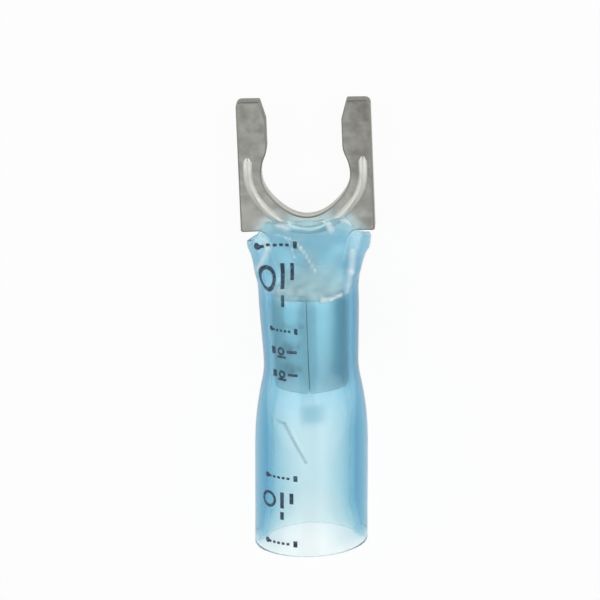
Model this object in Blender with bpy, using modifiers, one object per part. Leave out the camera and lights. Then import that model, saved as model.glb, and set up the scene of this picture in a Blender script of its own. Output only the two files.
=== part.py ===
"""Insulated snap-fork terminal: a stamped and rolled copper fork in a heat-shrink sleeve.

The model is worked out lying along +Y, with the wire end's centre at the origin, the
fork's open end towards +Y and the barrel's seam towards +Z. An empty then lifts it on to
the floor, where it lies level on the skirt of the sleeve and on the back of its mouth.
Run with: blender --background --python part.py
"""

import math

import bmesh
import bpy
from mathutils import Vector

# Sheet that the fork is stamped from
SHEET = 0.0008
EDGE_ROUND = 0.00007

# Barrel, rolled to a tube with its two edges butted along the top
BARREL_RADIUS = 0.00195
BARREL_LENGTH = 0.0054
SEAM_GAP = 0.00012
SERRATIONS = 3
SERRATION_PITCH = 0.0013
SERRATION_DEPTH = 0.0001
ENTRY_CHAMFER = 0.00022

# Neck, which opens from the round barrel into the flat tongue
NECK_LENGTH = 0.0029
NECK_WIDTH = 0.0042
NECK_FILLET = 0.0006
WING_RELIEF = 0.00035

# Tongue: a square block with a snap slot for an M4 or No. 8 stud
TONGUE_WIDTH = 0.0071
TONGUE_LENGTH = 0.0072
SLOT_RADIUS = 0.00235
SLOT_DEPTH = 0.0064
SNAP_GAP = 0.0040
SNAP_ROUND = 0.0015
LEAD_IN_LENGTH = 0.00105
LEAD_IN_FLARE = 0.0003
TIP_ROUND = 0.0003
SHOULDER_ROUND = 0.00012

# Stiffening rib pressed up round the slot, with its groove on the back
RIB_INSET = 0.0005
RIB_WIDTH = 0.0005
RIB_HEIGHT = 0.0002
RIB_LEG = 0.0010
RIB_RUN_OUT = 0.0003
GROOVE_DEPTH = 0.00014

# Sleeve of heat-shrink tube, shrunk on the barrel and still wide over the wire entry
SLEEVE_WALL = 0.0005
FIT_CLEARANCE = 0.00005
SKIRT_BORE_RADIUS = 0.0025
SKIRT_LENGTH = 0.0055
TAPER_LENGTH = 0.0039
WIRE_ENTRY = 0.00846
FRONT_EASE = 0.00015
MOUTH_WIDTH = 0.0056
MOUTH_FALL_LENGTH = 0.0029
MOUTH_HEADROOM = 0.00015
MOUTH_SQUARENESS = 6.0
ROUND_SQUARENESS = 2.0
LIP_SETBACK = 0.0006
LIP_OVERLAP = 0.0007
LIP_RISE = 0.45

# Sleeve's wire end: the bore is oval in the skirt, with more wall at its two flanks, and
# opens to a thin rim
SKIRT_FLANK = 0.0004
SKIRT_FLANK_EASE = 0.0005
ENTRY_BELL = 0.00025
ENTRY_BELL_START = 0.0004
ENTRY_BELL_END = 0.0024

# Facets
TURN_FACETS = 40
ARC_FACETS = 20
FILLET_FACETS = 5
NECK_ROWS = 7
NECK_COLUMNS = 9
WING_COLUMNS = 10
SLEEVE_FACETS = 48
ENTRY_ROWS = 4
TAPER_ROWS = 8
WAIST_ROWS = 4
MOUTH_ROWS = 16

# Places along the axis, from the wire end
BARREL_REAR = WIRE_ENTRY
BARREL_FRONT = BARREL_REAR + BARREL_LENGTH
SHOULDER = BARREL_FRONT + NECK_LENGTH
NECK_FLAT = SHOULDER - NECK_FILLET
TIP = SHOULDER + TONGUE_LENGTH
SLOT_BOTTOM = TIP - SLOT_DEPTH
SLOT_CENTRE = SLOT_BOTTOM + SLOT_RADIUS

# Radii and levels that follow from the sheet, measured from the barrel's axis
ROLL_RADIUS = BARREL_RADIUS - SHEET / 2
BORE_RADIUS = BARREL_RADIUS - SHEET
TONGUE_MIDDLE = -ROLL_RADIUS
TONGUE_TOP = TONGUE_MIDDLE + SHEET / 2
TONGUE_BOTTOM = TONGUE_MIDDLE - SHEET / 2
WING_REACH = math.pi * ROLL_RADIUS - SEAM_GAP / 2
RIB_RADIUS = TONGUE_WIDTH / 2 - RIB_INSET

# Levels and places of the sleeve's bore
WAIST_RADIUS = BARREL_RADIUS + FIT_CLEARANCE
MOUTH_TOP = TONGUE_TOP + RIB_HEIGHT + MOUTH_HEADROOM
MOUTH_BOTTOM = -SKIRT_BORE_RADIUS
WAIST_START = SKIRT_LENGTH + TAPER_LENGTH
FALL_START = BARREL_FRONT + FIT_CLEARANCE
FALL_END = FALL_START + MOUTH_FALL_LENGTH
SIDE_LIP = SHOULDER - LIP_SETBACK
FRONT_LIP = SHOULDER + LIP_OVERLAP


def clear_scene():
    for obj in list(bpy.data.objects):
        bpy.data.objects.remove(obj)


def new_collection(name):
    collection = bpy.data.collections.new(name)
    bpy.context.scene.collection.children.link(collection)
    return collection


def new_material(name, colour, roughness, metallic, transmission):
    material = bpy.data.materials.new(name)
    material.use_nodes = True
    shader = material.node_tree.nodes["Principled BSDF"]
    shader.inputs["Base Color"].default_value = (*colour, 1.0)
    shader.inputs["Roughness"].default_value = roughness
    shader.inputs["Metallic"].default_value = metallic
    shader.inputs["Transmission Weight"].default_value = transmission
    material.diffuse_color = (*colour, 1.0)
    return material


def new_object(name, mesh, collection):
    obj = bpy.data.objects.new(name, mesh)
    collection.objects.link(obj)
    return obj


def spread(start, end, count):
    """Places from start to end, both included, that split the way into equal parts."""
    return [start + (end - start) * step / count for step in range(count + 1)]


def arc(centre, radius, start, end, facets):
    """Points along an arc, both ends included. Angles are in radians from +X."""
    return [
        (centre[0] + radius * math.cos(turn), centre[1] + radius * math.sin(turn))
        for turn in spread(start, end, facets)
    ]


def share_of(along, start, end):
    """0 before start, 1 after end and in proportion between them."""
    return min(1.0, max(0.0, (along - start) / (end - start)))


def ease(along, start, end):
    """0 before start and 1 after end, with a smooth step between them."""
    share = share_of(along, start, end)
    return share * share * (3 - 2 * share)


# The fork


def slot_edge():
    """Right half of the slot, from its bottom up to the prong's inner corner."""
    wall = SNAP_GAP / 2
    bump_x = wall + SNAP_ROUND
    bump_rise = math.sqrt((SLOT_RADIUS + SNAP_ROUND) ** 2 - bump_x**2)
    meeting = math.atan2(bump_rise, bump_x)
    points = arc((0, SLOT_CENTRE), SLOT_RADIUS, -math.pi / 2, meeting, ARC_FACETS)
    bump = (bump_x, SLOT_CENTRE + bump_rise)
    points += arc(bump, SNAP_ROUND, math.pi + meeting, math.pi, FILLET_FACETS)[1:]
    points.append((wall, TIP - LEAD_IN_LENGTH))
    points.append((wall + LEAD_IN_FLARE, TIP))
    return points


def outer_edge():
    """Right half of the outline, from the prong's outer corner to the wire end."""
    side = TONGUE_WIDTH / 2
    neck = NECK_WIDTH / 2
    quarter = math.pi / 2
    tip_corner = (side - TIP_ROUND, TIP - TIP_ROUND)
    shoulder_corner = (side - SHOULDER_ROUND, SHOULDER + SHOULDER_ROUND)
    neck_corner = (neck + NECK_FILLET, NECK_FLAT)
    points = arc(tip_corner, TIP_ROUND, quarter, 0, FILLET_FACETS)
    points += arc(shoulder_corner, SHOULDER_ROUND, 0, -quarter, FILLET_FACETS)
    points += arc(neck_corner, NECK_FILLET, quarter, 2 * quarter, FILLET_FACETS)
    points.append((neck, BARREL_FRONT + WING_RELIEF))
    points.append((neck + WING_RELIEF, BARREL_FRONT))
    points.append((WING_REACH, BARREL_FRONT))
    points.append((WING_REACH, BARREL_REAR))
    points.append((0, BARREL_REAR))
    return points


def cut_rows_and_columns(blank):
    """Cuts the part of the blank that will be rolled into rows and columns, which meet
    the corners of its outline."""
    neck = NECK_WIDTH / 2
    rows = spread(BARREL_FRONT + WING_RELIEF, NECK_FLAT, NECK_ROWS)
    columns = spread(0, neck, NECK_COLUMNS)[1:]
    columns += spread(neck + WING_RELIEF, WING_REACH, WING_COLUMNS)[:-1]
    for row in [BARREL_FRONT, *rows]:
        cut(blank, Vector((0, row, 0)), Vector((0, 1, 0)))
    for column in columns:
        cut(blank, Vector((column, 0, 0)), Vector((1, 0, 0)))


def cut(blank, point, normal):
    rolled = [
        face
        for face in blank.faces
        if normal.y or face.calc_center_median().y < NECK_FLAT
    ]
    edges = {edge for face in rolled for edge in face.edges}
    verts = {vert for face in rolled for vert in face.verts}
    bmesh.ops.bisect_plane(
        blank,
        geom=[*verts, *edges, *rolled],
        dist=1e-8,
        plane_co=point,
        plane_no=normal,
    )


def roll(point):
    """Where a point of the flat blank goes once the barrel is rolled up round the axis.

    The curvature is full along the barrel and eases off to nothing along the neck.
    """
    bend = (1 - ease(point.y, BARREL_FRONT, NECK_FLAT)) / ROLL_RADIUS
    if bend * ROLL_RADIUS < 1e-6:
        return Vector((point.x, point.y, TONGUE_MIDDLE))
    turn = point.x * bend
    rise = (1 - math.cos(turn)) / bend
    return Vector((math.sin(turn) / bend, point.y, TONGUE_MIDDLE + rise))


def rolled_half_sheet():
    """Right half of the sheet's middle surface, stamped flat and then rolled."""
    blank = bmesh.new()
    corners = [blank.verts.new((x, y, 0)) for x, y in slot_edge() + outer_edge()]
    face = blank.faces.new(corners)
    face.normal_update()
    if face.normal.z < 0:
        face.normal_flip()
    cut_rows_and_columns(blank)
    for vert in blank.verts:
        vert.co = roll(vert.co)
    mesh = bpy.data.meshes.new("fork_terminal")
    blank.to_mesh(mesh)
    blank.free()
    return mesh


def rib_path():
    """The rib's U: down the left leg, round the slot and up the right leg."""
    leg_top = SLOT_CENTRE + RIB_LEG
    bend = arc((0, SLOT_CENTRE), RIB_RADIUS, -math.pi, 0, 2 * ARC_FACETS)
    left = [(-RIB_RADIUS, leg_top), (-RIB_RADIUS, leg_top - RIB_RUN_OUT)]
    right = [(RIB_RADIUS, leg_top - RIB_RUN_OUT), (RIB_RADIUS, leg_top)]
    return left + bend + right


def rib_tube(name, width, height, level, collection):
    """A round bar that stands up from the level by the height, tapered at its ends."""
    radius = ((width / 2) ** 2 + height**2) / (2 * height)
    middle = level + height - radius
    curve = bpy.data.curves.new(name, "CURVE")
    curve.dimensions = "3D"
    curve.bevel_depth = radius
    curve.bevel_resolution = 3
    curve.use_fill_caps = True
    path = rib_path()
    spline = curve.splines.new("POLY")
    spline.points.add(len(path) - 1)
    for point, (x, y) in zip(spline.points, path):
        point.co = (x, y, middle, 1)
    for end in (spline.points[0], spline.points[-1]):
        end.radius = (radius - height) / radius
    obj = new_object(name, curve, collection)
    return curve_to_mesh(obj, collection)


def curve_to_mesh(obj, collection):
    """Swaps a curve for its mesh, with its caps welded, so that a Boolean can use it."""
    name = obj.name
    graph = bpy.context.evaluated_depsgraph_get()
    mesh = bpy.data.meshes.new_from_object(obj.evaluated_get(graph))
    shape = bmesh.new()
    shape.from_mesh(mesh)
    bmesh.ops.remove_doubles(shape, verts=shape.verts, dist=1e-7)
    shape.to_mesh(mesh)
    shape.free()
    made = new_object(name + "_solid", mesh, collection)
    made.matrix_world = obj.matrix_world
    bpy.data.objects.remove(obj)
    return made


def serration_ring(index, collection):
    """Cutter for one of the grip grooves pressed across the inside of the barrel."""
    middle = BARREL_REAR + BARREL_LENGTH / 2
    offset = (index - (SERRATIONS - 1) / 2) * SERRATION_PITCH
    bpy.ops.mesh.primitive_torus_add(
        major_segments=TURN_FACETS,
        minor_segments=8,
        major_radius=BORE_RADIUS,
        minor_radius=SERRATION_DEPTH,
        location=(0, middle + offset, 0),
        rotation=(math.pi / 2, 0, 0),
    )
    return adopt(f"serration_cutter_{index + 1}", collection)


def entry_cone(collection):
    """Cutter for the chamfer that leads the wire strands into the barrel."""
    reach = 4 * ENTRY_CHAMFER
    bpy.ops.mesh.primitive_cone_add(
        vertices=TURN_FACETS,
        radius1=BORE_RADIUS + ENTRY_CHAMFER + reach,
        radius2=BORE_RADIUS + ENTRY_CHAMFER - reach,
        depth=2 * reach,
        location=(0, BARREL_REAR, 0),
        rotation=(-math.pi / 2, 0, 0),
    )
    return adopt("entry_cutter", collection)


def adopt(name, collection):
    """Names the object that an operator has just made and moves it to the collection."""
    obj = bpy.context.object
    obj.name = name
    for old in list(obj.users_collection):
        old.objects.unlink(obj)
    collection.objects.link(obj)
    return obj


def add_boolean(obj, operation, other):
    other.hide_render = True
    other.display_type = "WIRE"
    modifier = obj.modifiers.new(f"{operation.lower()} {other.name}", "BOOLEAN")
    modifier.operation = operation
    modifier.solver = "EXACT"
    modifier.object = other


def make_fork(parts, tools):
    """The whole metal piece: snap fork, neck and rolled barrel in one sheet."""
    fork = new_object("fork_terminal", rolled_half_sheet(), parts)
    fork.data.materials.append(
        new_material("tin_plate", (0.42, 0.41, 0.36), 0.38, 1.0, 0.0)
    )
    mirror = fork.modifiers.new("other half", "MIRROR")
    mirror.merge_threshold = 1e-6
    thicken = fork.modifiers.new("sheet thickness", "SOLIDIFY")
    thicken.thickness = SHEET
    thicken.offset = 0
    thicken.use_even_offset = True
    rounding = fork.modifiers.new("stamped edges", "BEVEL")
    rounding.width = EDGE_ROUND
    rounding.segments = 2
    rounding.limit_method = "ANGLE"
    rounding.angle_limit = math.radians(50)
    rib = rib_tube("rib", RIB_WIDTH, RIB_HEIGHT, TONGUE_TOP, tools)
    groove = rib_tube("rib_groove", RIB_WIDTH, GROOVE_DEPTH, TONGUE_BOTTOM, tools)
    add_boolean(fork, "UNION", rib)
    add_boolean(fork, "DIFFERENCE", groove)
    add_boolean(fork, "DIFFERENCE", entry_cone(tools))
    for index in range(SERRATIONS):
        add_boolean(fork, "DIFFERENCE", serration_ring(index, tools))
    return fork


# The sleeve


def bore_section(along):
    """(half width, level of the widest points, height above it, depth below it, squareness)."""
    waist = share_of(along, SKIRT_LENGTH, WAIST_START) ** 2
    fall = ease(along, FALL_START, FALL_END)
    flare = share_of(along, FALL_START, SIDE_LIP) ** 2
    slack = FRONT_EASE * ease(along, WAIST_START, FALL_START)
    radius = SKIRT_BORE_RADIUS + (WAIST_RADIUS - SKIRT_BORE_RADIUS) * waist
    half_width = radius + slack + (MOUTH_WIDTH / 2 - WAIST_RADIUS - FRONT_EASE) * flare
    level = TONGUE_MIDDLE * fall
    top = radius + (MOUTH_TOP - radius) * fall
    bottom = -radius + (MOUTH_BOTTOM + radius) * fall
    squareness = ROUND_SQUARENESS + (MOUTH_SQUARENESS - ROUND_SQUARENESS) * fall
    return half_width, level, top - level, level - bottom, squareness


def bore_point(turn, along):
    """A point of the sleeve's bore: a superellipse, round but for the flattened mouth."""
    half_width, level, above, below, squareness = bore_section(along)
    across = math.cos(turn)
    up = math.sin(turn)
    reach = (abs(across) ** squareness + abs(up) ** squareness) ** (-1 / squareness)
    height = above if up > 0 else below
    return (half_width * reach * across, along, level + height * reach * up)


def outward(turn, along):
    """The unit normal of the plain bore, away from its axis."""
    step = 1e-6
    turn_step = 3e-4
    ahead = Vector(bore_point(turn, along + step)) - Vector(bore_point(turn, along - step))
    before = Vector(bore_point(turn - turn_step, along))
    around = Vector(bore_point(turn + turn_step, along)) - before
    normal = ahead.cross(around).normalized()
    return normal if normal.x * math.cos(turn) + normal.z * math.sin(turn) > 0 else -normal


def wall_points(turn, along):
    """The inside and the outside of the wall. The outside is the plain bore moved out by
    the wall. The inside is drawn in at the skirt's flanks and opened at the wire end."""
    bore = Vector(bore_point(turn, along))
    normal = outward(turn, along)
    bell = ENTRY_BELL * (1 - ease(along, ENTRY_BELL_START, ENTRY_BELL_END))
    skirt = 1 - ease(along, SKIRT_LENGTH, WAIST_START)
    flank = SKIRT_FLANK * skirt * ease(along, 0, SKIRT_FLANK_EASE)
    inside = bore + normal * bell - Vector((flank * math.cos(turn), 0, 0))
    return inside, bore + normal * SLEEVE_WALL


def lip(turn):
    """How far along the sleeve ends: low at its sides, where the shoulders stop it, and
    high over the front and back of the tongue."""
    side = abs(bore_point(turn, FALL_END)[0]) / (MOUTH_WIDTH / 2)
    return SIDE_LIP + (FRONT_LIP - SIDE_LIP) * ease(1 - side, 0, LIP_RISE)


def sleeve_rows():
    """Places of the rings of facets, close together only where the sleeve is curved."""
    rows = [0.0, *spread(ENTRY_BELL_START, ENTRY_BELL_END, ENTRY_ROWS), SKIRT_LENGTH]
    for start, end, count in (
        (SKIRT_LENGTH, WAIST_START, TAPER_ROWS),
        (WAIST_START, FALL_START, WAIST_ROWS),
        (FALL_START, SIDE_LIP, MOUTH_ROWS),
    ):
        rows += spread(start, end, count)[1:]
    return rows


def make_sleeve(parts):
    """The heat-shrink tube, lofted from its round skirt to its flattened mouth."""
    shape = bmesh.new()
    turns = [2 * math.pi * step / SLEEVE_FACETS for step in range(SLEEVE_FACETS)]
    inner = []
    outer = []
    for row in sleeve_rows():
        share = share_of(row, FALL_START, SIDE_LIP)
        walls = [
            wall_points(turn, row + (lip(turn) - SIDE_LIP) * share) for turn in turns
        ]
        inner.append([shape.verts.new(inside) for inside, _ in walls])
        outer.append([shape.verts.new(outside) for _, outside in walls])
    rings = inner + outer[::-1]
    for lower, upper in zip(rings, rings[1:] + rings[:1]):
        for step in range(SLEEVE_FACETS):
            after = (step + 1) % SLEEVE_FACETS
            shape.faces.new((lower[step], upper[step], upper[after], lower[after]))
    bmesh.ops.recalc_face_normals(shape, faces=shape.faces)
    mesh = bpy.data.meshes.new("shrink_sleeve")
    shape.to_mesh(mesh)
    shape.free()
    mesh.shade_smooth()
    sleeve = new_object("shrink_sleeve", mesh, parts)
    sleeve.data.materials.append(
        new_material("blue_shrink_tube", (0.35, 0.70, 0.90), 0.15, 0.0, 0.9)
    )
    return sleeve


# How it lies


def rest_pose(parts):
    """An empty that lifts the model on to the floor and centres it along its length."""
    pose = new_object("rest_pose", None, parts)
    pose.location = (0, -TIP / 2, SKIRT_BORE_RADIUS + SLEEVE_WALL)
    return pose


def main():
    clear_scene()
    parts = new_collection("fork_terminal_parts")
    tools = new_collection("cutters")
    pose = rest_pose(parts)
    make_fork(parts, tools).parent = pose
    make_sleeve(parts).parent = pose
    for tool in tools.objects:
        tool.parent = pose


main()
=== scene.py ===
"""The looks of an insulated snap-fork terminal: tinned copper in a blue shrink sleeve.

It lies on its back on a white table and is seen from above, a little from the fork's
side. Sizes are in metres. The fork points along +Y and the barrel's seam along +Z.
"""

import math

import bmesh
import bpy
import numpy as np
from mathutils import Matrix, Vector


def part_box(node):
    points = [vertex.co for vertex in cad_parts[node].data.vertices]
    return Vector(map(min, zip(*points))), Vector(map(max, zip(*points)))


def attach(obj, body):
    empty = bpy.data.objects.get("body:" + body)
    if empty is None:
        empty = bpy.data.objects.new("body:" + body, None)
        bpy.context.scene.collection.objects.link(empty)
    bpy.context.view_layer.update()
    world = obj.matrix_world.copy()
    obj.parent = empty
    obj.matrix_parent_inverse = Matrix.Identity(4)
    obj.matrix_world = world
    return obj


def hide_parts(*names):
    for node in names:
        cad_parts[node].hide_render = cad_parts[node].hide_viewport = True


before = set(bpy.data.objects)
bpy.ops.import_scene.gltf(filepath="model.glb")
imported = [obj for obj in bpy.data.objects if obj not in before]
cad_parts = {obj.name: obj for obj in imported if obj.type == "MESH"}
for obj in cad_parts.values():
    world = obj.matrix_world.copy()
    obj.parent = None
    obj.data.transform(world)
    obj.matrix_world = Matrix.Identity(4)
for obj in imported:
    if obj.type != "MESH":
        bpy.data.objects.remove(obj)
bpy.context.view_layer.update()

scene = bpy.context.scene

# The fork terminal: 0.8 mm copper sheet, stamped, rolled into a barrel with a brazed
# butt seam along its top, and tin plated in bulk, which leaves a dull, grainy skin.
# The CAD solid has the right shape, so its faces are welded and shaded smooth.

METAL_LIGHT = (0.78, 0.78, 0.73, 1)
METAL_DARK = (0.37, 0.36, 0.32, 1)
METAL_EDGE_SHADE = (0.30, 0.29, 0.26, 1)
METAL_RIB_HIGHLIGHT = (0.78, 0.78, 0.74, 1)
RIB_FOOT = 0.00188
RIB_CREST = 0.00197
SHARP_ANGLE = math.radians(38)
TONGUE_TOP = 0.00185
TONGUE_BOTTOM = 0.00105
SLOT_CENTRE = 0.00793
SQUEEZE = 0.00013
SQUEEZE_START = 0.0034
EDGE_SHADE_FROM = 0.0045
EDGE_SHADE_SIDES = 0.0080
EDGE_SHADE_FADE = 0.0025
SEAM_WIDTH = 0.0004
SEAM_HALF_GAP = 0.00008
SEAM_END = 0.0019
SEAM_BEVEL = 0.00012
BARREL_RADIUS = 0.00195
BARREL_CUT = -0.0032
BARREL_TRIM = 0.0003
SQUEEZE_END = 0.0045


def welded_copy(name, node):
    """A copy of a CAD node whose loose triangles are joined at their shared corners,
    shaded smooth."""
    mesh = node.data.copy()
    mesh.name = name
    shape = bmesh.new()
    shape.from_mesh(mesh)
    bmesh.ops.remove_doubles(shape, verts=shape.verts, dist=1e-7)
    bmesh.ops.dissolve_degenerate(shape, edges=shape.edges, dist=1e-7)
    bmesh.ops.dissolve_limit(
        shape, angle_limit=math.radians(0.3), verts=shape.verts, edges=shape.edges
    )
    shape.to_mesh(mesh)
    shape.free()
    mesh.materials.clear()
    mesh.shade_smooth()
    piece = bpy.data.objects.new(name, mesh)
    scene.collection.objects.link(piece)
    return piece


def squeeze_slot(mesh):
    """Draws the slot's two lower quarters in, as the stamped edge stands: each point
    moves towards the slot's centre by SQUEEZE sin(2t)^2, t from the fork's root, less
    beyond the rib and nothing past SQUEEZE_END."""
    place = np.empty(len(mesh.vertices) * 3, dtype=np.float32)
    mesh.vertices.foreach_get("co", place)
    place = place.reshape(-1, 3).astype(float)
    place[place[:, 1] < BARREL_CUT, 1] += BARREL_TRIM
    off_seam = np.abs(place[:, 0])
    beside = (off_seam < SEAM_WIDTH) & (place[:, 2] > 0.003) & (place[:, 1] < SEAM_END)
    shift = SEAM_HALF_GAP * (SEAM_WIDTH - off_seam) / (SEAM_WIDTH - SEAM_HALF_GAP)
    place[:, 0] -= np.sign(place[:, 0]) * beside * np.minimum(shift, off_seam)
    level = place[:, 2] - 0.003
    radius = np.hypot(place[:, 0], level)
    outer = beside & (radius > BARREL_RADIUS - SEAM_BEVEL) & (radius < BARREL_RADIUS)
    crown = np.sqrt(np.maximum(BARREL_RADIUS**2 - place[:, 0] ** 2, 0))
    place[:, 2] += outer * (crown - level)
    from_centre = place[:, :2] - (0, SLOT_CENTRE)
    distance = np.linalg.norm(from_centre, axis=1)
    angle = np.arctan2(from_centre[:, 0], -from_centre[:, 1])
    share = np.clip((SQUEEZE_END - distance) / (SQUEEZE_END - SQUEEZE_START), 0, 1)
    share *= share * (3 - 2 * share)
    pull = SQUEEZE * np.sin(2 * angle) ** 2 * share * (np.abs(angle) < math.pi / 2)
    place[:, :2] -= from_centre / np.maximum(distance, 1e-9)[:, None] * pull[:, None]
    mesh.vertices.foreach_set("co", place.astype(np.float32).ravel())
    mesh.update()
    mesh.set_sharp_from_angle(angle=SHARP_ANGLE)


def keep_flats_flat(mesh):
    """Gives every corner that touches a flat face that face's own normal, so the bends
    beside a flat face run into it smoothly and the flat face shades evenly."""
    place = np.empty(len(mesh.vertices) * 3, dtype=np.float32)
    mesh.vertices.foreach_get("co", place)
    height = place.reshape(-1, 3)[:, 2]
    corners = np.empty(len(mesh.loops), dtype=np.int32)
    mesh.loops.foreach_get("vertex_index", corners)
    sizes = np.array([len(face.vertices) for face in mesh.polygons])
    owner = np.repeat(np.arange(len(sizes)), sizes)
    faces = np.array([tuple(face.normal) for face in mesh.polygons])
    normals = np.array([tuple(item.vector) for item in mesh.corner_normals])
    for level, side in ((TONGUE_TOP, 1), (TONGUE_BOTTOM, -1)):
        above = (height[corners] - level) * side
        off_level = (above < -2e-6) | (above > 1.5e-5)
        in_plane = np.bincount(owner, off_level) == 0
        touched = np.zeros(len(height), dtype=bool)
        touched[corners[in_plane[owner]]] = True
        alike = in_plane[owner] | (faces[owner, 2] * side > math.cos(SHARP_ANGLE))
        normals[touched[corners] & alike] = (0, 0, side)
    mesh.normals_split_custom_set(normals.tolist())


def mark_edge_shade(mesh):
    """Keeps a painted shade for each face as a face attribute: 1 on the fork's
    rounded edges and on the upright faces near its tips, fading to 0 down the slot."""
    tilt = np.array([abs(face.normal.z) for face in mesh.polygons])
    middle = np.array([tuple(face.center) for face in mesh.polygons])
    low = middle[:, 2] < TONGUE_TOP + 1e-6
    ahead = middle[:, 1] > EDGE_SHADE_FROM
    tips = np.clip((middle[:, 1] - EDGE_SHADE_SIDES) / EDGE_SHADE_FADE, 0, 1)
    edge_shade = low * ahead * np.where(tilt > 0.2, tilt < 0.98, tips)
    layer = mesh.attributes.new("edge_shade", "FLOAT", "FACE")
    layer.data.foreach_set("value", edge_shade.astype(np.float32))


def node_tree(material):
    """The material's nodes and links, with its Principled shader."""
    material.use_nodes = True
    tree = material.node_tree
    return tree.nodes, tree.links, tree.nodes["Principled BSDF"]


def noise_on(tree_nodes, tree_links, scale, detail, stretch=(1, 1, 1)):
    """A noise pattern on Object coordinates, stretched along the axes by the factors."""
    place = tree_nodes.new("ShaderNodeTexCoord")
    mapping = tree_nodes.new("ShaderNodeMapping")
    mapping.inputs["Scale"].default_value = stretch
    noise = tree_nodes.new("ShaderNodeTexNoise")
    noise.inputs["Scale"].default_value = scale
    noise.inputs["Detail"].default_value = detail
    tree_links.new(place.outputs["Object"], mapping.inputs["Vector"])
    tree_links.new(mapping.outputs["Vector"], noise.inputs["Vector"])
    return noise.outputs["Fac"]


def remap(tree_nodes, tree_links, source, low, high, start=0.3, end=0.7):
    """Turns a pattern's start to end range into low to high."""
    ramp = tree_nodes.new("ShaderNodeMapRange")
    ramp.inputs["From Min"].default_value = start
    ramp.inputs["From Max"].default_value = end
    ramp.inputs["To Min"].default_value = low
    ramp.inputs["To Max"].default_value = high
    tree_links.new(source, ramp.inputs["Value"])
    return ramp.outputs["Result"]


def attribute(tree_nodes, name):
    """The value kept on the mesh under this name."""
    reader = tree_nodes.new("ShaderNodeAttribute")
    reader.attribute_name = name
    return reader.outputs["Fac"]


def blended(tree_nodes, tree_links, factor, first, second):
    """A colour between first and second, each a colour or an output."""
    blend = tree_nodes.new("ShaderNodeMix")
    blend.data_type = "RGBA"
    tree_links.new(factor, blend.inputs["Factor"])
    for name, colour in (("A", first), ("B", second)):
        if isinstance(colour, tuple):
            blend.inputs[name].default_value = colour
        else:
            tree_links.new(colour, blend.inputs[name])
    return blend.outputs["Result"]


def added(tree_nodes, tree_links, first, second):
    """The sum of two outputs."""
    total = tree_nodes.new("ShaderNodeMath")
    tree_links.new(first, total.inputs[0])
    tree_links.new(second, total.inputs[1])
    return total.outputs[0]


def multiplied(tree_nodes, tree_links, first, second):
    """The product of two outputs."""
    product = tree_nodes.new("ShaderNodeMath")
    product.operation = "MULTIPLY"
    tree_links.new(first, product.inputs[0])
    tree_links.new(second, product.inputs[1])
    return product.outputs[0]


tin = bpy.data.materials.new("tin_plate")
nodes, links, shader = node_tree(tin)
place = nodes.new("ShaderNodeTexCoord")
axes = nodes.new("ShaderNodeSeparateXYZ")
links.new(place.outputs["Object"], axes.inputs["Vector"])
# Large soft patches, a fine grain, lighter metal towards the barrel, and painted light
# that makes the metal lighter towards the left.
patches = remap(nodes, links, noise_on(nodes, links, 420, 3, (1, 0.5, 1)), 0, 0.36)
grain = noise_on(nodes, links, 1900, 5)
speckle = remap(nodes, links, grain, 0, 0.36)
painted_light_leftward = remap(nodes, links, axes.outputs["X"], 0.24, 0, -0.003, 0.003)
rootward = remap(nodes, links, axes.outputs["Y"], 0.56, 0, 0.004, 0.0110)
uneven = multiplied(
    nodes,
    links,
    added(nodes, links, patches, speckle),
    remap(nodes, links, axes.outputs["Y"], 0.15, 1, 0.003, 0.0045),
)
tone = added(nodes, links, uneven, added(nodes, links, painted_light_leftward, rootward))
plated = blended(nodes, links, tone, METAL_DARK, METAL_LIGHT)
# Painted highlight: the rib's crest is made lighter in colour (and rougher), so it shows
# as one broad bright band.
crest = remap(nodes, links, axes.outputs["Z"], 0, 1, RIB_FOOT, RIB_CREST)
on_tongue = remap(nodes, links, axes.outputs["Z"], 1, 0, 0.00215, 0.0023)
bare = remap(nodes, links, axes.outputs["Y"], 0, 1, 0.0051, 0.0057)
rib = multiplied(nodes, links, multiplied(nodes, links, crest, on_tongue), bare)
rib_highlighted = blended(nodes, links, rib, plated, METAL_RIB_HIGHLIGHT)
# Painted shade: the fork's rounded edges and the upright faces near its tips are darkened.
shaded_edge = blended(
    nodes, links, attribute(nodes, "edge_shade"), rib_highlighted, METAL_EDGE_SHADE
)
links.new(shaded_edge, shader.inputs["Base Color"])
shader.inputs["Metallic"].default_value = 1.0
dullness = added(
    nodes,
    links,
    remap(nodes, links, grain, 0.34, 0.46),
    remap(nodes, links, rib, 0, 0.2, 0, 1),
)
links.new(dullness, shader.inputs["Roughness"])
tumbling = nodes.new("ShaderNodeBump")
tumbling.inputs["Strength"].default_value = 0.25
tumbling.inputs["Distance"].default_value = 0.00004
links.new(noise_on(nodes, links, 1500, 6), tumbling.inputs["Height"])
links.new(tumbling.outputs["Normal"], shader.inputs["Normal"])

terminal = welded_copy("tinned_fork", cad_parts["fork_terminal"])
squeeze_slot(terminal.data)
mark_edge_shade(terminal.data)
keep_flats_flat(terminal.data)
terminal.data.materials.append(tin)
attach(terminal, "root")
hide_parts("fork_terminal")

# The sleeve: clear blue polyolefin tube, shrunk by heat on the barrel and the root of
# the fork, where it flattens into a mouth with soft folds at its corners. The wire end
# is as extruded. It is one loft of superellipses with cut ends, whose wall is thicker at
# the skirt's flanks and thinner at the wire end.

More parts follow.
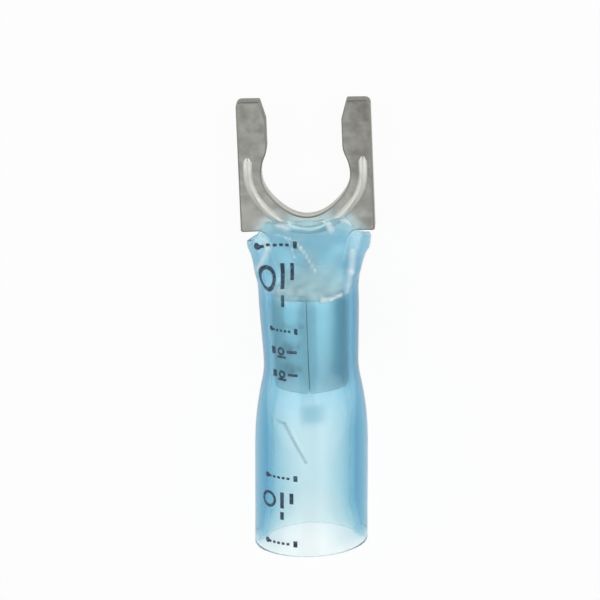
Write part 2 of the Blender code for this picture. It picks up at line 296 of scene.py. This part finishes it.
WIRE_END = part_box("shrink_sleeve")[0][1]
AXIS_LEVEL = 0.003
WALL = 0.0005
SKIRT_BORE = 0.0025
WAIST_BORE = 0.0020
TAPER_START = 0.0055
TAPER_END = 0.0094
FALL_START = 0.01391
FALL_END = 0.01681
SOFTEN = (-0.0005, -0.00025, 0, 0.00025, 0.0005)
SIDE_LIP = 0.01616
FRONT_LIP = 0.01746
UNDER_LIP = 0.01705
LIP_RISE = 0.22
UNDER_LIP_RISE = 0.45
LIP_SLANT = 0.00010
RIGHT_LIP_RISE = 0.26
RIGHT_LIP_BUMP = 0.0001
RIGHT_BUMP_PLACE = 0.00205
RIGHT_BUMP_WIDTH = 0.00045
RIGHT_CORNER = 0.0004
LEFT_CORNER = 0.00022
FRONT_EASE = 0.00015
FLANK_THICKER = 0.0004
FLANK_START = 0.0005
BELL = 0.00025
BELL_START = 0.0004
BELL_END = 0.0024
MOUTH_HALF_WIDTH = 0.0028
MOUTH_LEVEL = -0.00155
MOUTH_TOP = -0.0008
MOUTH_BOTTOM = -0.0025
MOUTH_SQUARENESS = 6.0
LEAN = math.radians(2.36)
LEAN_END = 0.0109
LEAN_BLEND = 0.0020
COLUMNS = 240
TOP_SHARE = 0.35
ROWS = 60
OUTER_ROWS = 300
EDGE_ROWS = 7
EDGE_REACH = 0.00006


def share_of(along, start, end):
    """0 before start, 1 after end and in proportion between them."""
    return np.clip((along - start) / (end - start), 0, 1)


def ease(along, start, end):
    """0 before start and 1 after end, by the smooth step 3s^2 - 2s^3 between them."""
    share = share_of(along, start, end)
    return share * share * (3 - 2 * share)


def bore(turn, along):
    """The inside of the sleeve at an angle from +X and a distance from the wire end.

    Each section is a superellipse, |x/a|^n + |z/b|^n = 1. Its exponent n goes from 2,
    a circle, to the mouth's squareness, while its middle drops to the tongue's level.
    """
    waist = sum(share_of(along + shift, TAPER_START, TAPER_END) ** 2 for shift in SOFTEN)
    waist = waist / len(SOFTEN)
    fall = ease(along, FALL_START, FALL_END)
    flare = share_of(along, FALL_START, SIDE_LIP) ** 2
    slack = FRONT_EASE * ease(along, TAPER_END, FALL_START)
    radius = SKIRT_BORE + (WAIST_BORE - SKIRT_BORE) * waist
    radius = radius + BELL * (1 - ease(along, BELL_START, BELL_END))
    half_width = radius + slack + (MOUTH_HALF_WIDTH - WAIST_BORE - FRONT_EASE) * flare
    level = MOUTH_LEVEL * fall
    top = radius + (MOUTH_TOP - radius) * fall - level
    bottom = radius - (MOUTH_BOTTOM + radius) * fall + level
    power = 2 + (MOUTH_SQUARENESS - 2) * fall
    across = np.cos(turn)
    up = np.sin(turn)
    reach = (np.abs(across) ** power + np.abs(up) ** power) ** (-1 / power)
    height = np.where(up > 0, top, bottom)
    x = half_width * reach * across
    z = level + height * reach * up
    return np.stack([x, along + 0 * x, z], axis=-1)


def ridge_along(turn, along, start, end, height, width, beads=0.0):
    """A ridge on the sleeve's top from start to end, each an (x, distance from the wire
    end), as height exp(-(d/width)^2), where d is the distance from that line. Beads
    make it rise and fall that many times."""
    start, end = np.array(start), np.array(end)
    way = end - start
    across = np.stack([bore(turn, along)[..., 0], along], axis=-1) - start
    share_on = np.clip((across @ way) / (way @ way), 0, 1)
    gap = np.linalg.norm(across - share_on[..., None] * way, axis=-1)
    swell = 1 - 0.6 * np.sin(share_on * math.pi * beads) ** 2 if beads else 1
    return np.where(np.sin(turn) > 0, height * swell * np.exp(-((gap / width) ** 2)), 0)


SCUFF_START = (-0.00135, 0.00735)
SCUFF_BEND = (-0.00105, 0.00727)
SCUFF_END = (-0.00008, 0.00526)
SCUFF_HALF_WIDTH = 6e-5
SCUFF_DEPTH = 0.00003


def scuff_at(turn, along):
    """1 on the bent scratch on the skirt's top, 0 off it."""
    short = ridge_along(turn, along, SCUFF_START, SCUFF_BEND, 1, SCUFF_HALF_WIDTH)
    long = ridge_along(turn, along, SCUFF_BEND, SCUFF_END, 1, SCUFF_HALF_WIDTH)
    return np.minimum(short + long, 1)


# Each crease, fold or drop on the sleeve's top, each with a painted highlight: its two
# ends, as x and the distance from the wire end, how strong its painted highlight is, its
# half width and the number of beads it breaks into.
CREASES = (
    ((0.0007, 0.01400), (0.0011, 0.01402), 1.0, 6.5e-5, 0),
    ((0.0011, 0.01402), (0.00150, 0.01416), 1.0, 6.5e-5, 0),
    ((0.00174, 0.0142), (0.00202, 0.0150), 0.5, 8e-5, 0),
    ((0.00202, 0.0150), (0.00228, 0.0158), 0.7, 9e-5, 0),
    ((0.00228, 0.0158), (0.0025, 0.0166), 0.2, 1.8e-4, 0),
    ((-0.00225, 0.0165), (-0.0020, 0.0160), 0.8, 1.2e-4, 0),
    ((-0.0020, 0.0160), (-0.00215, 0.0152), 0.7, 1.1e-4, 0),
    ((-0.0015, 0.0168), (-0.0003, 0.0159), 0.85, 8e-5, 6),
    ((-0.0003, 0.0159), (0.0005, 0.0150), 0.7, 8e-5, 5),
    ((-0.0011, 0.0164), (-0.0006, 0.0155), 0.4, 7e-5, 3),
    ((-0.00145, 0.01745), (-0.0010, 0.01725), 1.0, 1.7e-4, 0),
    ((0.0011, 0.0176), (0.0013, 0.0171), 1.0, 1.6e-4, 0),
    ((0.0019, 0.0177), (0.0023, 0.0174), 0.95, 1.4e-4, 0),
    ((-0.0012, 0.0144), (0.0008, 0.0141), 0.3, 1.2e-4, 4),
)
CREASE_HEIGHT = 0.0001
DIP = ((0.0008, 0.01428), (0.0016, 0.0144), 9e-5, 1.2e-4)
WAVE_HEIGHT = 0.00007
WAVE_START = 0.0138
WAVE_FULL = 0.0152


def crease_glint(turn, along):
    """1 where a painted highlight whitens the plastic: on the ridge over the barrel's open
    end, in the creases and folds of the mouth and on the drops at its lip, and 0
    elsewhere."""
    total = 0 * turn
    for start, end, strength, width, beads in CREASES:
        total = total + ridge_along(turn, along, start, end, strength, width, beads)
    return np.minimum(total, 1)


def relief(turn, along):
    """How far the outside stands off its even wall: up along the creases that carry a
    painted highlight, down in the dip before the ridge and in the scratch, and in slow
    waves, which grow towards the mouth."""
    total = CREASE_HEIGHT * crease_glint(turn, along)
    total -= ridge_along(turn, along, *DIP)
    total -= SCUFF_DEPTH * scuff_at(turn, along)
    x = bore(turn, along)[..., 0]
    slow = np.sin(x * 2600 + along * 1900) * np.sin(along * 2400 + 1)
    grown = ease(along, WAVE_START, WAVE_FULL) * ease(np.sin(turn), 0, 0.4)
    total += WAVE_HEIGHT * slow * grown
    return total


def wall_point(turn, along, depth, overhang=0.0):
    """A point in the wall: depth is 0 on the bore and 1 outside, along the bore's
    normal, and overhang carries it past a cut end. The bore is oval in the skirt, with
    more wall at the flanks. The skirt leans back from the terminal's line."""
    step = 1e-6
    around = bore(turn + step * 300, along) - bore(turn - step * 300, along)
    ahead = bore(turn, along + step) - bore(turn, along - step)
    normal = np.cross(ahead, around)
    normal /= np.linalg.norm(normal, axis=-1, keepdims=True)
    ahead /= np.linalg.norm(ahead, axis=-1, keepdims=True)
    point = bore(turn, along)
    wall = WALL - BELL * (1 - ease(along, BELL_START, BELL_END))
    point = point + normal * ((wall + relief(turn, along)) * depth)[..., None]
    point = point + ahead * overhang[..., None]
    skirt = 1 - ease(along, TAPER_START, TAPER_END)
    thicker = FLANK_THICKER * skirt * ease(along, 0, FLANK_START)
    point[..., 0] -= thicker * np.cos(turn) * np.clip(1 - depth, 0, 1)
    behind = np.maximum(LEAN_END - point[..., 1], 0)
    point[..., 0] -= math.tan(LEAN) * behind**2 / (behind + LEAN_BLEND)
    point[..., 1] += WIRE_END
    point[..., 2] += AXIS_LEVEL
    return point


def lip(turn):
    """Where the sleeve ends: far over the tongue's top, less under it, short at its
    sides and uneven, as shrinking leaves it."""
    edge = bore(turn, np.full_like(turn, FALL_END))
    inward = 1 - np.abs(edge[..., 0]) / MOUTH_HALF_WIDTH
    right = np.cos(turn) > 0
    higher = np.where(right, RIGHT_CORNER, LEFT_CORNER)
    corner = SIDE_LIP + higher * ease(np.sin(turn), 0, 0.5)
    rise = np.where(right, RIGHT_LIP_RISE, LIP_RISE)
    climb = (share_of(inward, 0, rise) + ease(inward, 0, rise)) / 2
    over = corner + (FRONT_LIP - corner) * climb
    under = SIDE_LIP + (UNDER_LIP - SIDE_LIP) * ease(inward, 0, UNDER_LIP_RISE)
    off_bump = (edge[..., 0] - RIGHT_BUMP_PLACE) / RIGHT_BUMP_WIDTH
    bump = RIGHT_LIP_BUMP * np.exp(-(off_bump**2))
    end = np.where(np.sin(turn) > 0, over + bump, under)
    return end + LIP_SLANT * np.cos(turn)


def mesh_of(name, points, faces):
    """A mesh from an array of points and an array of four-cornered faces."""
    mesh = bpy.data.meshes.new(name)
    mesh.from_pydata(points.reshape(-1, 3).tolist(), [], faces.tolist())
    mesh.shade_smooth()
    return mesh


def grid_faces(rows, columns, wrap_rows, wrap_columns):
    """Four-cornered faces between neighbours on a grid that may close on itself."""
    row = np.arange(rows if wrap_rows else rows - 1)
    column = np.arange(columns if wrap_columns else columns - 1)
    row, column = np.meshgrid(row, column, indexing="ij")
    next_row = (row + 1) % rows
    next_column = (column + 1) % columns
    corners = [
        row * columns + column,
        row * columns + next_column,
        next_row * columns + next_column,
        next_row * columns + column,
    ]
    return np.stack(corners, axis=-1).reshape(-1, 4)


# The run of rows goes up the bore, over the mouth's lip, down outside and round the
# wire end. A cut end is a squarish bend, a superellipse of the wall's thickness.
up_run = np.linspace(0, 1, ROWS)
down_run = np.linspace(1, 0, OUTER_ROWS)
bend = np.linspace(0, math.pi, EDGE_ROWS + 2)[1:-1]
bend_depth = 0.5 - 0.5 * np.sign(np.cos(bend)) * np.abs(np.cos(bend)) ** 0.4
bend_reach = EDGE_REACH * np.sin(bend) ** 0.4
run_share = np.concatenate([up_run, np.ones(EDGE_ROWS), down_run, np.zeros(EDGE_ROWS)])
run_depth = np.concatenate([0 * up_run, bend_depth, 0 * down_run + 1, bend_depth[::-1]])
run_reach = np.concatenate([0 * up_run, bend_reach, 0 * down_run, -bend_reach])
turns = np.linspace(0, 2 * math.pi, COLUMNS, endpoint=False)
turns += TOP_SHARE * np.cos(turns)
share, turn = np.meshgrid(run_share, turns, indexing="ij")
depth = np.repeat(run_depth[:, None], COLUMNS, axis=1)
overhang = np.repeat(run_reach[:, None], COLUMNS, axis=1)
level_row = share * SIDE_LIP
along = level_row + (lip(turn) - SIDE_LIP) * share_of(level_row, FALL_START, SIDE_LIP)
sleeve_points = wall_point(turn, along, depth, overhang)
sleeve_mesh = mesh_of(
    "blue_sleeve", sleeve_points, grid_faces(len(run_share), COLUMNS, True, True)
)

# How milky the wall is at each point: clear in the skirt, cloudy where it has shrunk
# and thickened over the barrel, cloudiest where it bridges the open end of the barrel.
# It is snug on the barrel from SNUG_START to SNUG_END, and as milky as the mouth is from
# MILKY_END on.
BRIDGE_PLACE = (0.00045, 0.01460)
BRIDGE_HALF = (0.0017, 0.00052)
SHADE_PLACE = (0.0002, 0.0078)
SHADE_HALF = (0.00055, 0.0005)
SKIRT_MILK = 0.03
BRIDGE_MILK = 0.4
SNUG_START = 0.0094
SNUG_END = 0.0138
MILKY_END = 0.0156
LIP_THINNING = 0.6

flat_x = bore(turn, along)[..., 0]
on_top = np.sin(turn) > 0
scuff = scuff_at(turn, along)
white = crease_glint(turn, along)
patchy = np.sin(flat_x * 5200 + 3 * np.sin(along * 5000)) * np.sin(along * 7000 + 1)
# Where the wall bridges the barrel's open end it is cloudier plastic. It also carries a
# painted highlight in pale grey-green.
bridge_x = (flat_x - BRIDGE_PLACE[0]) / BRIDGE_HALF[0]
bridge_y = np.abs(along - BRIDGE_PLACE[1] + 0.00010 * patchy) / BRIDGE_HALF[1]
bridge = np.exp(-(bridge_x**4) - bridge_y**3) * (0.8 + 0.2 * patchy) * on_top
shade_x = (flat_x - SHADE_PLACE[0]) / SHADE_HALF[0]
shade_y = (along - SHADE_PLACE[1]) / SHADE_HALF[1]
shade = np.exp(-(shade_x**4) - shade_y**4)
milk = SKIRT_MILK + 0.05 * ease(along, 0.0066, SNUG_START)
milk = milk + 0.16 * ease(along, SNUG_END, MILKY_END)
tint = 0.85 * ease(along, 0.0062, SNUG_START) + 0.15 * ease(along, 0.0135, 0.0155)
thin_lip = LIP_THINNING * ease(along, lip(turn) - 0.0011, lip(turn) - 0.0001)
milk = milk * (1 - thin_lip) + BRIDGE_MILK * bridge
# The scratch is cloudier. The creases are made milky as part of their painted highlight.
milk = np.minimum(milk + (0.4 * scuff + 0.75 * white) * (depth > 0.5), 1)
tint = tint * (1 - thin_lip)
outside = on_top * (depth > 0.5)
snug = ease(along, 0.0084, 0.0098) * (1 - ease(along, 0.0134, 0.0142))
# Painted shade: the right flank over the barrel and into the mouth is a deeper blue.
right_flank_shade = ease(np.cos(turn), 0.45, 0.8) * ease(along, 0.0084, 0.0098)
right_flank_shade = right_flank_shade * (1 - ease(along, 0.0146, 0.0158))
for name, values in (
    ("snug", snug),
    ("right_flank_shade", right_flank_shade),
    ("milk", milk),
    ("tint", tint),
    ("pale", bridge),
    ("shade", 0.8 * shade * outside),
    ("scuff", scuff * outside),
    ("white", white * outside),
):
    layer = sleeve_mesh.attributes.new(name, "FLOAT", "POINT")
    layer.data.foreach_set("value", values.astype(np.float32).ravel())
sleeve = bpy.data.objects.new("blue_sleeve", sleeve_mesh)
scene.collection.objects.link(sleeve)

TUBE_BLUE = (0.286, 0.696, 0.830, 1)
TUBE_DENSITY = 790.0
MILK_BLUE = (0.70, 0.89, 0.95, 1)
MILK_DEEP = (0.56, 0.83, 0.94, 1)
BRIDGE_HIGHLIGHT_PALE = (0.60, 0.82, 0.83, 1)
GLINT_WHITE = (0.80, 0.94, 1.0, 1)
SNUG_BLUE = (0.48, 0.72, 0.82, 1)
RIGHT_SHADE_BLUE = (0.34, 0.63, 0.76, 1)
CLEAR_BLUE = (1.0, 0.995, 0.975, 1)
SHADE_TEAL = (0.30, 0.55, 0.62, 1)
SCUFF_GREY = (0.33, 0.47, 0.53, 1)


tube = bpy.data.materials.new("clear_blue_tube")
nodes, links, shader = node_tree(tube)
milk_value = attribute(nodes, "milk")
cloud = noise_on(nodes, links, 2000, 4, (1, 0.6, 1))
milky = blended(
    nodes, links, remap(nodes, links, cloud, 0, 1, 0.38, 0.62), MILK_DEEP, MILK_BLUE
)
tight = blended(nodes, links, attribute(nodes, "snug"), milky, SNUG_BLUE)
# Painted shade on the right flank.
right_shaded = blended(nodes, links, attribute(nodes, "right_flank_shade"), tight, RIGHT_SHADE_BLUE)
# Painted highlight over the bridge, pale grey-green.
bridge_highlighted = blended(nodes, links, attribute(nodes, "pale"), right_shaded, BRIDGE_HIGHLIGHT_PALE)
tinted = blended(nodes, links, attribute(nodes, "tint"), CLEAR_BLUE, bridge_highlighted)
shaded = blended(nodes, links, attribute(nodes, "shade"), tinted, SHADE_TEAL)
scuffed = blended(nodes, links, attribute(nodes, "scuff"), shaded, SCUFF_GREY)
# Painted highlight: the creases, folds and lip drops turn near white.
glinted = blended(nodes, links, attribute(nodes, "white"), scuffed, GLINT_WHITE)
links.new(glinted, shader.inputs["Base Color"])
clear = remap(nodes, links, milk_value, 1, 0, 0, 1)
links.new(clear, shader.inputs["Transmission Weight"])
shader.inputs["IOR"].default_value = 1.10
shader.inputs["Coat Weight"].default_value = 0.8
shader.inputs["Coat IOR"].default_value = 1.5
shader.inputs["Coat Roughness"].default_value = 0.12
haze = noise_on(nodes, links, 500, 3, (1, 0.3, 1))
links.new(remap(nodes, links, haze, 0.10, 0.22), shader.inputs["Roughness"])
waves = nodes.new("ShaderNodeBump")
crumple = remap(nodes, links, attribute(nodes, "tint"), 0.05, 0.45, 0.85, 1)
links.new(crumple, waves.inputs["Strength"])
waves.inputs["Distance"].default_value = 0.0001
links.new(noise_on(nodes, links, 420, 2, (1, 0.4, 1)), waves.inputs["Height"])
links.new(waves.outputs["Normal"], shader.inputs["Normal"])
links.new(waves.outputs["Normal"], shader.inputs["Coat Normal"])
output = nodes["Material Output"]
lamp_ray = nodes.new("ShaderNodeLightPath")
let_through = nodes.new("ShaderNodeBsdfTransparent")
let_through.inputs["Color"].default_value = (0.93, 0.975, 0.99, 1)
choose = nodes.new("ShaderNodeMixShader")
links.new(lamp_ray.outputs["Is Shadow Ray"], choose.inputs["Fac"])
links.new(shader.outputs["BSDF"], choose.inputs[1])
links.new(let_through.outputs["BSDF"], choose.inputs[2])
links.new(choose.outputs["Shader"], output.inputs["Surface"])
body_colour = nodes.new("ShaderNodeVolumeAbsorption")
body_colour.inputs["Color"].default_value = TUBE_BLUE
body_colour.inputs["Density"].default_value = TUBE_DENSITY
links.new(body_colour.outputs["Volume"], output.inputs["Volume"])
sleeve.data.materials.append(tube)
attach(sleeve, "root")
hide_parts("shrink_sleeve")

# The print: dark blue ink rolled on the tube before it was shrunk, so it follows the
# tube's surface. It is a plain pattern of ticks, bars, dots and rings.

INK_LIFT = 0.02
PRINT_RADIUS = 0.0027
INK_THICKNESS = 0.000006
TOP = math.pi / 2
TICK_ROWS = (0.0160, 0.01235, 0.0043, 0.0006)
RING_ROWS = (0.0148, 0.0030)
LOW_ROWS = (0.0112, 0.0099)
INK_DARK = (0.02, 0.05, 0.09, 1)
INK_WORN = (0.10, 0.19, 0.27, 1)


def ink_patch(across, along, columns_wrap=False):
    """Lays a grid of print on the tube: across is the distance from the top line to the
    left, measured round the tube at PRINT_RADIUS, along the distance from the wire end.
    Both are arrays of rows and columns."""
    turn = TOP + across / PRINT_RADIUS
    points = wall_point(turn, along, np.full_like(along, 1 + INK_LIFT), 0 * along)
    return points, grid_faces(*across.shape, False, columns_wrap)


def ink_bar(left, right, low, high):
    """A bar between two distances from the top line and two from the wire end."""
    rows = max(2, int(abs(high - low) / 0.00005) + 1)
    columns = max(2, int(abs(right - left) / 0.00005) + 1)
    along, across = np.meshgrid(
        np.linspace(low, high, rows), np.linspace(left, right, columns), indexing="ij"
    )
    return ink_patch(across, along)


def ink_ring(left, middle, outer, inner):
    """A ring, or a dot where inner is 0, about a place on the tube."""
    radius, angle = np.meshgrid(
        np.linspace(max(inner, outer * 0.02), outer, 4),
        np.linspace(0, 2 * math.pi, 28, endpoint=False),
        indexing="ij",
    )
    return ink_patch(
        left + radius * np.cos(angle), middle + radius * np.sin(angle), True
    )


marks = []
for row in TICK_ROWS:
    marks.append(ink_bar(0.0005, 0.0007, row - 0.00012, row + 0.0002))
    for tick in range(5):
        left = 0.0009 + tick * 0.00026
        marks.append(ink_bar(left, left + 0.00016, row - 0.00005, row + 0.00008))
    marks.append(ink_ring(0.0022, row + 0.00004, 0.00014, 0.0))
for row in RING_ROWS:
    marks.append(ink_ring(0.0021, row, 0.00046, 0.00030))
    marks.append(ink_bar(0.0012, 0.0014, row - 0.0004, row + 0.0005))
    marks.append(ink_bar(0.0007, 0.0009, row - 0.0001, row + 0.0005))
    marks.append(ink_bar(0.0012, 0.0014, row - 0.0011, row - 0.0006))
for row in LOW_ROWS:
    marks.append(ink_bar(0.0006, 0.0012, row - 0.00006, row + 0.0001))
    marks.append(ink_ring(0.0016, row, 0.00024, 0.00011))
    marks.append(ink_bar(0.0020, 0.0023, row - 0.0002, row + 0.0002))
    marks.append(ink_bar(0.0013, 0.0019, row - 0.00038, row - 0.00026))

counts = np.cumsum([0] + [points.reshape(-1, 3).shape[0] for points, faces in marks])
print_points = np.concatenate([points.reshape(-1, 3) for points, faces in marks])
print_faces = np.concatenate(
    [faces + start for (points, faces), start in zip(marks, counts)]
)
print_mesh = mesh_of("sleeve_print", print_points, print_faces)
sleeve_print = bpy.data.objects.new("sleeve_print", print_mesh)
scene.collection.objects.link(sleeve_print)
film = sleeve_print.modifiers.new("ink film", "SOLIDIFY")
film.thickness = INK_THICKNESS
film.offset = 1

ink = bpy.data.materials.new("dark_blue_ink")
nodes, links, shader = node_tree(ink)
thin = remap(nodes, links, noise_on(nodes, links, 6000, 3), 0, 1, 0.45, 0.75)
links.new(
    blended(nodes, links, thin, INK_DARK, INK_WORN), shader.inputs["Base Color"]
)
shader.inputs["Roughness"].default_value = 0.45
sleeve_print.data.materials.append(ink)
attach(sleeve_print, "root")

# The table: a plain white sheet. Seen directly, in the metal or through the tube it
# glows white, and it keeps a soft shadow of the terminal.

TABLE_SIZE = 0.6
GLOW_SHARES = (
    ("Is Camera Ray", 0.93),
    ("Is Glossy Ray", 0.25),
    ("Is Transmission Ray", 0.78),
)

table_grid = np.array([[-1, -1, 0], [1, -1, 0], [1, 1, 0], [-1, 1, 0]]) * TABLE_SIZE
table_mesh = mesh_of("table", table_grid, np.array([[0, 1, 2, 3]]))
table = bpy.data.objects.new("table", table_mesh)
scene.collection.objects.link(table)
sheet = bpy.data.materials.new("white_sheet")
nodes, links, shader = node_tree(sheet)
shader.inputs["Base Color"].default_value = (0.93, 0.93, 0.93, 1)
shader.inputs["Roughness"].default_value = 0.9
glow = nodes.new("ShaderNodeEmission")
glow.inputs["Color"].default_value = (1, 1, 1, 1)
ray = nodes.new("ShaderNodeLightPath")
part_glow = None
for kind, share_seen in GLOW_SHARES:
    part = remap(nodes, links, ray.outputs[kind], 0, share_seen, 0, 1)
    part_glow = part if part_glow is None else added(nodes, links, part_glow, part)
blend = nodes.new("ShaderNodeMixShader")
links.new(part_glow, blend.inputs["Fac"])
links.new(shader.outputs["BSDF"], blend.inputs[1])
links.new(glow.outputs["Emission"], blend.inputs[2])
links.new(blend.outputs["Shader"], nodes["Material Output"].inputs["Surface"])
table.data.materials.append(sheet)

# The light: a dim pale room and a broad soft lamp over each side, the right one larger.
# The room looks white where the camera sees it directly or through the tube.

room = bpy.data.worlds.new("pale_room")
scene.world = room
room.use_nodes = True
nodes = room.node_tree.nodes
links = room.node_tree.links
dim = nodes["Background"]
dim.inputs["Color"].default_value = (0.30, 0.30, 0.30, 1)
white = nodes.new("ShaderNodeBackground")
white.inputs["Color"].default_value = (1, 1, 1, 1)
ray = nodes.new("ShaderNodeLightPath")
seen = nodes.new("ShaderNodeMath")
seen.operation = "MAXIMUM"
links.new(ray.outputs["Is Camera Ray"], seen.inputs[0])
links.new(ray.outputs["Is Transmission Ray"], seen.inputs[1])
choose = nodes.new("ShaderNodeMixShader")
links.new(seen.outputs[0], choose.inputs["Fac"])
links.new(dim.outputs["Background"], choose.inputs[1])
links.new(white.outputs["Background"], choose.inputs[2])
links.new(choose.outputs["Shader"], nodes["World Output"].inputs["Surface"])


def soft_lamp(name, place, size, radiance):
    """A square lamp that faces the terminal. Its power is radiance times pi times area."""
    lamp = bpy.data.lights.new(name, "AREA")
    lamp.size = size
    lamp.energy = radiance * math.pi * size * size
    holder = bpy.data.objects.new(name, lamp)
    holder.location = place
    holder.rotation_euler = (-Vector(place)).to_track_quat("-Z", "Y").to_euler()
    scene.collection.objects.link(holder)


soft_lamp("lamp_right", (0.114, 0.035, 0.113), 0.217, 1.15)
soft_lamp("lamp_left", (-0.119, 0.035, 0.107), 0.17, 1.35)

# The camera: over the terminal, tipped 18.5 degrees towards the fork's tips, with a long
# lens. The terminal stands a little turned in the picture and its right side higher.

VIEW_TIP = math.radians(18.5)
TURNED = math.radians(2.23)
RAISED = math.radians(3.8)
DISTANCE = 0.5
VIEW_WIDTH = 0.0317
AIM = Vector((-0.00047, 0.00135, 0.0030))

from_picture = (
    Matrix.Rotation(TURNED, 3, "Z") @ Matrix.Rotation(-RAISED, 3, "Y")
).transposed()
rolled_right = from_picture @ Vector((1, 0, 0))
rolled_up = from_picture @ Vector((0, math.cos(VIEW_TIP), -math.sin(VIEW_TIP)))
back = from_picture @ Vector((0, math.sin(VIEW_TIP), math.cos(VIEW_TIP)))
place = AIM + back * DISTANCE
camera_data = bpy.data.cameras.new("camera")
camera_data.sensor_width = 36
camera_data.lens = 36 * DISTANCE / VIEW_WIDTH
camera_data.clip_start = 0.01
camera_data.clip_end = 10
camera = bpy.data.objects.new("camera", camera_data)
camera.matrix_world = Matrix(
    (
        (rolled_right.x, rolled_up.x, back.x, place.x),
        (rolled_right.y, rolled_up.y, back.y, place.y),
        (rolled_right.z, rolled_up.z, back.z, place.z),
        (0, 0, 0, 1),
    )
)
scene.collection.objects.link(camera)
scene.camera = camera
scene.view_settings.view_transform = "Standard"
